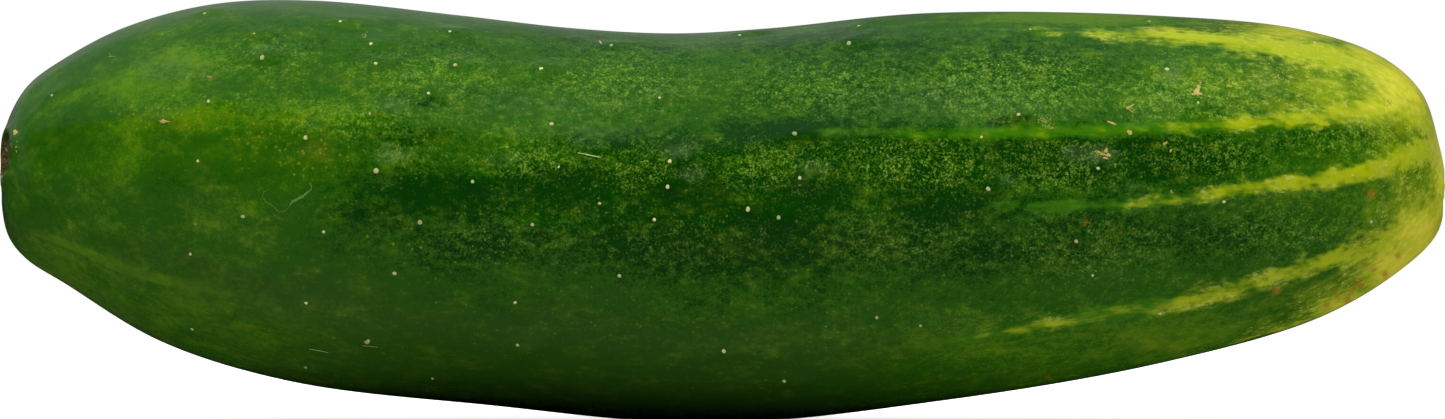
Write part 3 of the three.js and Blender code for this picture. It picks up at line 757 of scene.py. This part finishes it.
# ---- Materials ----
class Nodes:
    """A node tree, with a short method for each kind of node the looks use."""

    def __init__(self, tree):
        self.tree = tree
        self.coordinates = self.node("TexCoord", {}).outputs
        self.place = self.coordinates["Object"]

    def node(self, kind, inputs, **settings):
        """A new node with its settings, its inputs given by name or number."""
        node = self.tree.nodes.new("ShaderNode" + kind)
        for setting, value in settings.items():
            setattr(node, setting, value)
        for socket, value in inputs.items():
            self.feed(node.inputs[socket], value)
        return node

    def feed(self, socket, value):
        """Give a socket a link, a colour, a number or, by its name, one of the mesh's fields."""
        if isinstance(value, str):
            value = self.node("Attribute", {}, attribute_name=value).outputs["Fac"]
        if isinstance(value, bpy.types.NodeSocket):
            self.tree.links.new(value, socket)
        elif isinstance(value, tuple) and len(value) == 3 and socket.type == "RGBA":
            socket.default_value = (*value, 1)
        else:
            socket.default_value = value

    def math(self, operation, a, b):
        return self.node("Math", {0: a, 1: b}, operation=operation).outputs[0]

    def times(self, product, *factors):
        for factor in factors:
            product = self.math("MULTIPLY", product, factor)
        return product

    def plus(self, a, b):
        return self.math("ADD", a, b)

    def less(self, a, b):
        return self.math("SUBTRACT", a, b)

    def most(self, a, b):
        return self.math("MAXIMUM", a, b)

    def stirred(self, field, *noises):
        """A field with noises added, each a pair of a noise about 0.5 and how much of it."""
        for noise, amount in noises:
            field = self.plus(field, self.times(self.less(noise, 0.5), amount))
        return field

    def step(self, value, low, high, top=1.0, bottom=0.0):
        """Bottom below low and top above high, with a smooth way between them (low may be the larger)."""
        inputs = {"Value": value, "From Min": low, "From Max": high, "To Min": bottom, "To Max": top}
        return self.node("MapRange", inputs, interpolation_type="SMOOTHSTEP").outputs[0]

    def band(self, value, start, full, past, end):
        """1 between full and past, and 0 before start and after end, with smooth ways between them."""
        return self.times(self.step(value, start, full), self.step(value, end, past))

    def mix(self, share, a, b):
        node = self.node("Mix", {}, data_type="RGBA")
        for socket, value in ((0, share), (6, a), (7, b)):
            self.feed(node.inputs[socket], value)
        return node.outputs[2]

    def stretched(self, size, stretch, shift):
        """The place on the fruit, in units of size, with features stretched along it."""
        inputs = {0: self.place, 1: (1 / (size * stretch), 1 / size, 1 / size), 2: (shift,) * 3}
        return self.node("VectorMath", inputs, operation="MULTIPLY_ADD").outputs[0]

    def noise(self, size, stretch, detail, shift):
        """Soft noise, about 0.5 in the middle, with features of that size in metres."""
        inputs = {"Vector": self.stretched(size, stretch, shift), "Scale": 1.0, "Detail": detail}
        return self.node("TexNoise", inputs).outputs["Fac"]

    def dots(self, size, common, shift):
        """Ragged soft dots, at most one in each cell of that size: common is how many cells have one."""
        cells = self.node("TexVoronoi", {"Vector": self.stretched(size, 1.0, shift), "Scale": 1.0})
        chance = self.node("SeparateColor", {0: cells.outputs["Color"]}).outputs
        ragged = self.stirred(cells.outputs["Distance"], (self.noise(0.4 * size, 1, 1, shift), 0.5))
        present = self.step(self.plus(chance[0], common), 0.95, 1.1)
        shape = self.step(ragged, 0.46, 0.12)
        return self.times(shape, present, self.plus(self.times(chance[1], 0.7), 0.3))

    def by_ray(self, gloss, others, seen):
        """One value for glossy rays, another for the rest, and a third for what the camera sees."""
        path = self.node("LightPath", {}).outputs
        value = others
        for ray, chosen in (("Is Glossy Ray", gloss), ("Is Camera Ray", seen)):
            value = self.node("Mix", {0: path[ray], 2: value, 3: chosen}).outputs[0]
        return value


class Shader(Nodes):
    """A new material and its nodes."""

    def __init__(self, name):
        self.material = bpy.data.materials.new(name)
        self.material.use_nodes = True
        super().__init__(self.material.node_tree)
        self.surface = self.tree.nodes["Principled BSDF"]

    def finish(self, color, roughness, height=None, depth=0.0, **others):
        """The material with its colour, its roughness and, where there is a height, its bump."""
        self.feed(self.surface.inputs["Base Color"], color)
        self.feed(self.surface.inputs["Roughness"], roughness)
        for socket, value in others.items():
            self.feed(self.surface.inputs[socket.replace("_", " ")], value)
        if height is not None:
            relief_node = self.node("Bump", {"Height": height, "Distance": depth, "Strength": 1.0})
            self.feed(self.surface.inputs["Normal"], relief_node.outputs[0])
        return self.material


class SkinShader(Shader):
    """The skin's material, with the noises that its marks share, from broad drifts to fine grain."""

    def __init__(self):
        super().__init__("skin")
        self.broad = self.noise(0.0110, 2.2, 3, 1.5)
        self.soft = self.noise(0.0030, 1.5, 3, 3.5)
        self.small = self.noise(0.0009, 1.3, 3, 5.5)
        self.fine = self.noise(0.0003, 1.2, 1, 7.5)
        self.feathers = self.noise(0.0008, 5.0, 3, 9.5)


def skin_tone(s):
    """The ground colour: dark, middle and bright green in drifts, painted shade under warts, painted shade
    and floor reflection on the belly, olive in places.
    """
    drift = s.less("bright", "deep_tone_and_shade")
    tone = s.stirred(drift, (s.broad, 1.3), (s.soft, 0.8))
    lively = s.plus(s.times("flecked", 0.7), 0.36)
    tone = s.plus(tone, s.times(lively, s.stirred(0.0, (s.small, 2.0), (s.fine, 2.2))))
    color = s.mix(s.step(tone, -0.75, 0.1), DEEP_GREEN, MID_GREEN)
    color = s.mix(s.step(tone, 0.1, 1.1), color, BRIGHT_GREEN)
    # Painted shade and floor reflection on the belly.
    belly_shade = s.stirred("belly", (s.broad, 1.4), (s.feathers, 0.8))
    color = s.mix(s.step(belly_shade, 0.1, 0.9, 0.75), color, BELLY_SHADE_GREEN)
    olive = s.stirred("olive", (s.broad, 0.8), (s.soft, 0.9), (s.small, 0.3))
    return s.mix(s.step(olive, 0.15, 1.2, 0.65), color, OLIVE_GREEN)


def yellow_flecks(s, color):
    """Scattered soft yellowish flecks on the smooth skin near the stem end."""
    common = s.stirred("yellow_flecks", (s.soft, 1.1), (s.small, 1.2))
    share = s.dots(0.00062, s.step(common, 0.2, 1.1, 0.7), 47.5)
    return s.mix(s.times(share, 0.6), color, FLECK_YELLOW)


def flecks(s, color):
    """Fine pale flecks, thick in some drifts and thin in others, but not on stripes or beside spines."""
    density = s.stirred("flecked", (s.soft, 0.45), (s.small, 0.8))
    density = s.times(density, s.step("stripe", 0.7, 0.35), s.step("wart", 0.8, 0.3))
    worms = s.times(s.step(s.noise(0.00038, 1, 1, 37.5), 0.52, 0.68), s.step(density, 0.1, 1.0), 0.55)
    large = s.dots(0.00052, s.times(density, 0.8), 39.5)
    dots = s.most(large, s.times(s.dots(0.00034, density, 41.5), 0.8))
    bright = s.plus(s.step("flecked", 0.2, 1.2, 0.68), 0.26)
    dimmed = s.step("deep_tone_and_shade", 0.4, 1.1, 0.2)
    share = s.times(s.most(dots, worms), s.less(bright, dimmed))
    return s.mix(share, color, s.mix(s.step(s.small, 0.4, 0.62), FLECK_GREEN, FLECK_PALE))


def stripes(s, color):
    """Soft feathery stripes: green where they start and at their edges, and yellow inside further on."""
    field = s.stirred("stripe", (s.feathers, 0.9), (s.soft, 1.1), (s.small, 0.6))
    yellow = s.stirred("ripeness", (s.feathers, 0.7), (s.soft, 1.0), (s.small, 0.3))
    yellow = s.plus(yellow, s.times(s.less(field, 0.8), 0.5))
    tone = s.mix(s.step(yellow, 0.1, 1.15), STRIPE_GREEN, STRIPE_YELLOW)
    color = s.mix(s.times(s.step(field, 0.1, 1.0), s.step("stripe", 0.02, 0.35)), color, tone)
    return stripe_grains(s, color, field)


def stripe_grains(s, color, field):
    """Pale grains: a few where a stripe turns yellow, and more along the inside of its edges further on."""
    worms = s.step(s.noise(0.00042, 2, 1, 57.5), 0.5, 0.68)
    turning = s.times(s.step(field, 0.2, 0.7), s.band("ripeness", 0.1, 0.4, 0.6, 1.0))
    few = s.times(s.most(worms, s.dots(0.00044, 0.6, 59.5)), s.step(s.soft, 0.45, 0.62))
    color = s.mix(s.times(turning, few, 0.35), color, STRIPE_EDGE)
    rim = s.times(s.band("stripe", 0.2, 0.5, 0.7, 1.1), s.step("ripeness", 0.25, 0.7))
    more = s.times(s.most(worms, s.dots(0.0005, 0.9, 61.5)), s.step(s.soft, 0.46, 0.6))
    return s.mix(s.times(rim, more, 0.4), color, STRIPE_EDGE)


def blossom_end(s, color):
    """Yellow skin that takes over between the stripes in soft clouds, with pale grains where it starts."""
    field = s.stirred("ripe", (s.soft, 0.8), (s.small, 0.4), (s.feathers, 0.4))
    tone = s.mix(s.step(s.stirred(field, (s.feathers, 0.9)), 0.5, 1.8), END_GREEN, END_YELLOW)
    color = s.mix(s.step(field, -0.05, 1.4, 0.95), color, tone)
    worms = s.step(s.noise(0.00042, 2, 1, 69.5), 0.54, 0.68)
    grains = s.most(s.dots(0.00044, 0.8, 68.5), s.times(worms, 0.7))
    place = s.times(s.band("ripe", 0.08, 0.4, 0.7, 1.3), s.step(s.small, 0.42, 0.56))
    return s.mix(s.times(grains, place, 0.6), color, STRIPE_EDGE)


def scars(s, color):
    """The stem's dish, olive at its edge and tan with pale crumbs inside, and the other end's spot."""
    place = s.stirred("stem_scar", (s.small, 0.8))
    middle = s.stirred("scar_middle", (s.small, 0.9))
    color = s.mix(s.step(place, 1.15, 0.85, 0.92), color, SCAR_OLIVE)
    tan = s.mix(s.step(s.fine, 0.35, 0.65), SCAR_BROWN, SCAR_TAN)
    color = s.mix(s.times(s.step(middle, 0.85, 0.4), s.step(place, 1.1, 0.95)), color, tan)
    crumbs = s.times(s.dots(0.0008, 0.45, 77.5), s.step(place, 1.1, 0.9))
    color = s.mix(crumbs, color, SCAR_CREAM)
    spot = s.stirred("blossom_scar", (s.small, 1.0))
    return s.mix(s.step(spot, 0.75, 0.45, 0.85), color, SCAR_BROWN)


def skin_material():
    """The skin's looks, each mark laid over those before it."""
    s = SkinShader()
    # Painted sheen: grey gloss laid into the colour on warts and the upper flank.
    painted_sheen = s.stirred("painted_sheen", (s.small, 0.7))
    color = s.mix(s.step(painted_sheen, 0.1, 1.1, 0.55), skin_tone(s), PAINTED_SHEEN_GREY)
    color = flecks(s, yellow_flecks(s, color))
    color = blossom_end(s, stripes(s, color))
    rust = s.stirred("rust", (s.fine, 0.8))
    color = s.mix(s.step(rust, 0.15, 0.95, 0.7), color, RUST_BROWN)
    color = scars(s, color)
    pores, dimples = s.noise(0.00035, 1.6, 2, 81.5), s.noise(0.0016, 1.5, 1, 83.5)
    height = s.plus(s.times(pores, 0.3), s.times(dimples, 0.7))
    roughness = s.plus(s.times(s.broad, DRIFT_ROUGHNESS), SKIN_ROUGHNESS)
    scarred = s.step("stem_scar", 1.15, 0.95)
    roughness = s.plus(roughness, s.times(scarred, SCAR_ROUGHNESS))
    return s.finish(color, roughness, height, SKIN_BUMP, Specular_IOR_Level=SKIN_GLOSS)


def cork_material(name, pale, other, dark, shift):
    """Dry corky tissue: grainy, each patch between two tones, and darker at its edge."""
    s = Shader(name)
    grain = s.noise(CORK_GRAIN, 1.3, 3, shift)
    tone = s.mix("tint", pale, other)
    edge = s.stirred("edge", (grain, 1.1))
    color = s.mix(s.step(edge, 0.45, 1.1), tone, dark)
    return s.finish(color, CORK_ROUGHNESS, grain, CORK_BUMP, Specular_IOR_Level=CORK_GLOSS)


# ---- Camera, light and stage ----
def add_camera():
    """A long lens nearly level with the fruit, that fills the picture with it from end to end."""
    low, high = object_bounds()
    centre = (Vector(low) + Vector(high)) / 2
    elevation = radians(CAMERA_ELEVATION)
    camera = add_object("camera", bpy.data.cameras.new("camera"))
    camera.location = centre + CAMERA_DISTANCE * Vector((0, -cos(elevation), sin(elevation)))
    camera.rotation_euler = (pi / 2 - elevation, 0, 0)
    camera.data.sensor_width = SENSOR_WIDTH
    camera.data.lens = SENSOR_WIDTH * CAMERA_DISTANCE / (high[0] - low[0])
    camera.data.clip_end = CLIP_END
    bpy.context.scene.camera = camera


def add_area_light(name, elevation, distance, size, radiance, in_gloss, shift):
    """A rectangular light that faces the fruit: elevation is 0 in front, 90 overhead and 180 behind."""
    turn = radians(elevation)
    away = Vector((0, -cos(turn), sin(turn)))
    light = add_object(name, bpy.data.lights.new(name, "AREA"))
    light.data.shape = "RECTANGLE"
    light.data.size, light.data.size_y = size
    light.data.energy = radiance * pi * size[0] * size[1]
    light.location = distance * away + Vector((shift, 0, 0))
    light.rotation_euler = away.to_track_quat("Z", "Y").to_euler()
    light.visible_camera = False
    light.visible_glossy = in_gloss
    light.data.cycles.use_multiple_importance_sampling = in_gloss


def add_lights():
    """A broad key from above the lens that gives no gloss, and dim boxes above and behind for the sheen."""
    for light in LIGHTS:
        add_area_light(*light)


def contact_distance(s):
    """How far a place on the floor is from where the fruit rests, as a multiple of the shade's reach."""
    along, across = CONTACT_SHADE_REACH
    inputs = {0: s.place, 1: (1 / along, 1 / across, 1), 2: (-CONTACT_SHADE_AT / along, 0, 0)}
    scaled = s.node("VectorMath", inputs, operation="MULTIPLY_ADD").outputs[0]
    return s.node("VectorMath", {0: scaled}, operation="LENGTH").outputs["Value"]


def floor_material():
    """White to the camera, and dimmer in what it gives the fruit, least of all close to where it rests."""
    s = Shader("floor")
    color = s.by_ray(FLOOR_GLOSS, 0.0, FLOOR_SEEN)
    bounce = s.step(contact_distance(s), *CONTACT_SHADE_ENDS, FLOOR_BOUNCE)
    glow = {"Emission_Color": (1.0, 1.0, 1.0), "Emission_Strength": s.by_ray(0.0, bounce, FLOOR_GLOW)}
    material = s.finish(color, FLOOR_ROUGHNESS, Specular_IOR_Level=0.0, **glow)
    material.cycles.emission_sampling = "NONE"  # so that gloss sees only what glossy rays find
    return material


def add_floor():
    """A wide level floor."""
    mesh = bpy.data.meshes.new("floor")
    corners = [(x * FLOOR_REACH, y * FLOOR_REACH, 0) for x, y in ((-1, -1), (1, -1), (1, 1), (-1, 1))]
    mesh.from_pydata(corners, [], [(0, 1, 2, 3)])
    mesh.materials.append(floor_material())
    add_object("floor", mesh)


def add_world():
    """White to the camera; in the fruit's gloss, bright behind it and dark in front."""
    world = bpy.data.worlds.new("studio")
    bpy.context.scene.world = world
    world.use_nodes = True
    world.cycles.sampling_method = "NONE"
    s = Nodes(world.node_tree)
    behind = s.node("SeparateXYZ", {0: s.coordinates["Generated"]}).outputs["Y"]
    gloss = s.step(behind, *WORLD_FADE, WORLD_BEHIND, WORLD_FRONT)
    background = s.tree.nodes["Background"].inputs
    s.feed(background["Strength"], s.by_ray(gloss, WORLD_DIFFUSE, 1.0))
    s.feed(background["Color"], (1.0, 1.0, 1.0))


# ---- The whole scene ----
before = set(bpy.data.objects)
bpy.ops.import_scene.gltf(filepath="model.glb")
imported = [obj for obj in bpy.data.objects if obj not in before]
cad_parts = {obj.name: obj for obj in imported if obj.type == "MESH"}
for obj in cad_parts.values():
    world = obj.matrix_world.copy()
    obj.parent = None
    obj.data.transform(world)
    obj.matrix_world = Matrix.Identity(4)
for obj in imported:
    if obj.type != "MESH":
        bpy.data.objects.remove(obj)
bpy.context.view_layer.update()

# The spines are placed on the form without warts first, then on the one that has them.
feet = spine_feet(Form())
form = Form(feet)
feet = spine_feet(form)
TO_FRAME = frame_offset(form)

fields = {name: form.per_vertex(grid) for name, grid in skin_fields(form, feet).items()}
skin = mesh_object("skin", form.vertices, form.faces, skin_material(), fields)
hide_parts("cucumber")

corks = {name: cork_material(name, *looks) for name, looks in CORKS.items()}
pieces = [
    skin,
    make_spine_feet(form, feet, corks["spine_cork"]),
    make_crusts(form, "cork_patches", CORK, TAN_STROKES, corks["cork"]),
    make_crusts(form, "brown_flecks", FLECKS, [], corks["fleck_cork"]),
    make_scuffs(form, corks["scuff_cork"]),
    make_scratches(form, corks["healed_skin"]),
]
for piece in pieces:
    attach(piece, "root")

add_camera()
add_lights()
add_floor()
add_world()
bpy.context.scene.view_settings.view_transform = "Standard"
